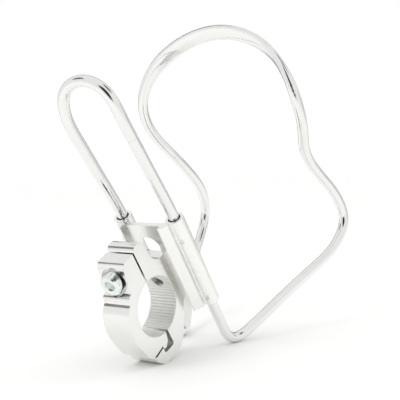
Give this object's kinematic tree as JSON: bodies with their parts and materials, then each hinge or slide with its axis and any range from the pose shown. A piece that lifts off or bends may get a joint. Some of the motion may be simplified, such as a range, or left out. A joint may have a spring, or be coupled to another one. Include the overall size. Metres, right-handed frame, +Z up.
{
  "type": "water bottle cage",
  "caption": "Handlebar bottle cage: bent wire loop and back rail crimped into an extruded bracket, screwed to a hooked two-piece bar clamp.",
  "frame": {"origin": "centre of the handlebar bore, midway across the clamp", "axes": "+X along the handlebar bore (rider's right), +Y horizontal and forward to the bottle, +Z up, with the cage leaning back on its clamp foot and two lower wire bends as it stands on a table"},
  "size_m": [0.0794, 0.1196, 0.1241],
  "materials": {
    "bracket": "bright anodised extrusion",
    "wire": "polished bent rod",
    "clamp": "tumbled and polished",
    "bolt": "bright zinc-plated steel"
  },
  "bodies": {
    "mount": {"bracket": "bracket", "back_rail": "wire", "front_loop": "wire", "clamp_saddle": "clamp", "bracket_screw": "bolt"},
    "jaw": {"clamp_jaw": "clamp"},
    "bolt": {"clamp_bolt": "bolt"}
  },
  "joints": [
    {"name": "bolt_slide", "type": "slide", "parent": "mount", "child": "bolt", "axis": [0, -0.866, -0.5], "range_m": [0, 0.0026]},
    {"name": "jaw_rock", "type": "hinge", "parent": "mount", "child": "jaw", "pos_m": [0, 0.00321, -0.01535], "axis": [1, 0, 0], "range_deg": [0, 4.1]}
  ],
  "couplings": [
    {"joint": "jaw_rock", "follows": "bolt_slide", "rad_per_m": 27}
  ]
}
